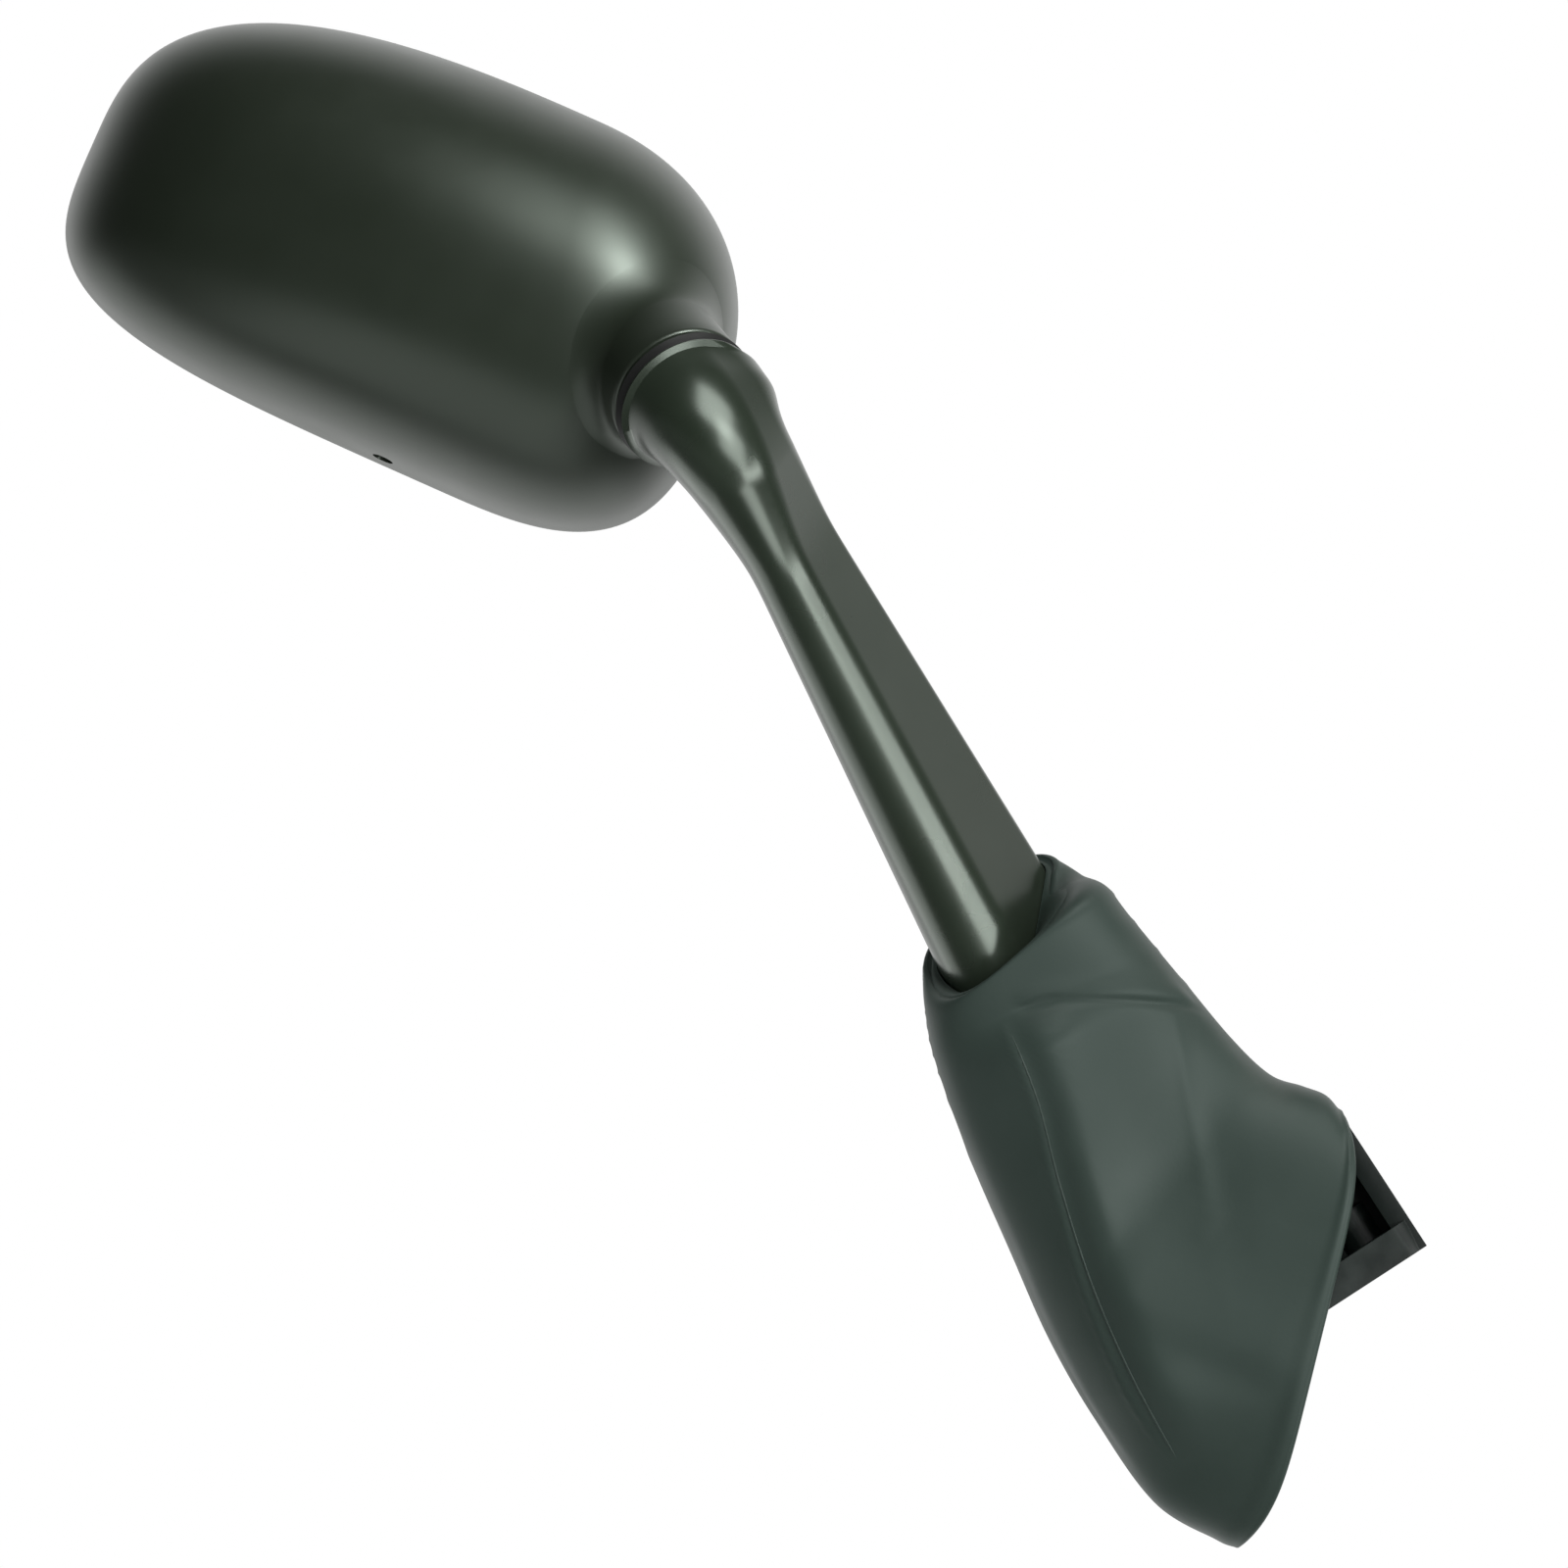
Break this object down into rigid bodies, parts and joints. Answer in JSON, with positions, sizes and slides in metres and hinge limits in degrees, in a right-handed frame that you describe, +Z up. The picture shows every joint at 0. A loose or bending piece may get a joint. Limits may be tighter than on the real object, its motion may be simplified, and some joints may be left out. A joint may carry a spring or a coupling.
{
  "type": "motorcycle mirror",
  "caption": "Fairing-mounted rear-view mirror: rounded oblong housing on a ball joint, teardrop arm, folding foot under a rubber boot.",
  "frame": {"origin": "centre of the foot's mounting face, where it meets the fairing", "axes": "+X inboard towards the motorcycle's centre, so the head lies towards -X; +Y rearward, the way the glass faces; +Z up"},
  "size_m": [0.3953, 0.0995, 0.2476],
  "materials": {
    "black_plastic": "satin moulded black",
    "mirror_glass": "back-silvered convex glass",
    "foam": "closed-cell adhesive foam",
    "black_nylon": "moulded nylon",
    "zinc_steel": "zinc-plated steel",
    "spring_steel": "drawn spring wire",
    "black_cast": "satin black coated casting",
    "bronze": "oil-filled bronze",
    "friction": "pressed friction lining",
    "black_steel": "black oxide steel",
    "rubber": "dull moulded rubber"
  },
  "bodies": {
    "base": {"base_bracket": "black_cast", "pivot_bolt": "black_steel", "pivot_washer": "black_steel", "friction_disc": "friction", "pivot_spring": "spring_steel", "spring_cap": "zinc_steel", "lock_nut": "zinc_steel", "boot": "rubber"},
    "arm": {"arm": "black_cast", "ball_stud": "zinc_steel", "pivot_bush": "bronze"},
    "seal": {"neck_seal": "black_nylon"},
    "liner": {"ball_liner": "black_nylon"},
    "head": {"housing": "black_plastic", "glass": "mirror_glass", "glass_pad": "foam", "glass_carrier": "black_nylon", "retainer_plate": "zinc_steel", "retainer_screw_1": "zinc_steel", "retainer_screw_2": "zinc_steel", "retainer_screw_3": "zinc_steel", "retainer_spring_1": "spring_steel", "retainer_spring_2": "spring_steel", "retainer_spring_3": "spring_steel"}
  },
  "joints": [
    {"name": "fold", "type": "hinge", "parent": "base", "child": "arm", "pos_m": [-0.04185, 0, 0.02002], "axis": [-0.5446, 0, -0.8387], "range_deg": [-15, 55], "deforming": ["boot"]},
    {"name": "head_swivel", "type": "hinge", "parent": "arm", "child": "seal", "pos_m": [-0.23335, -0.0445, 0.14257], "axis": [-0.5733, 0.7692, 0.2823], "range_deg": [-12, 12]},
    {"name": "head_pan", "type": "hinge", "parent": "seal", "child": "liner", "pos_m": [-0.23335, -0.0445, 0.14257], "axis": [0, 0, 1], "range_deg": [-9, 9]},
    {"name": "head_tilt", "type": "hinge", "parent": "liner", "child": "head", "pos_m": [-0.23335, -0.0445, 0.14257], "axis": [1, 0, 0], "range_deg": [-9, 9]}
  ]
}
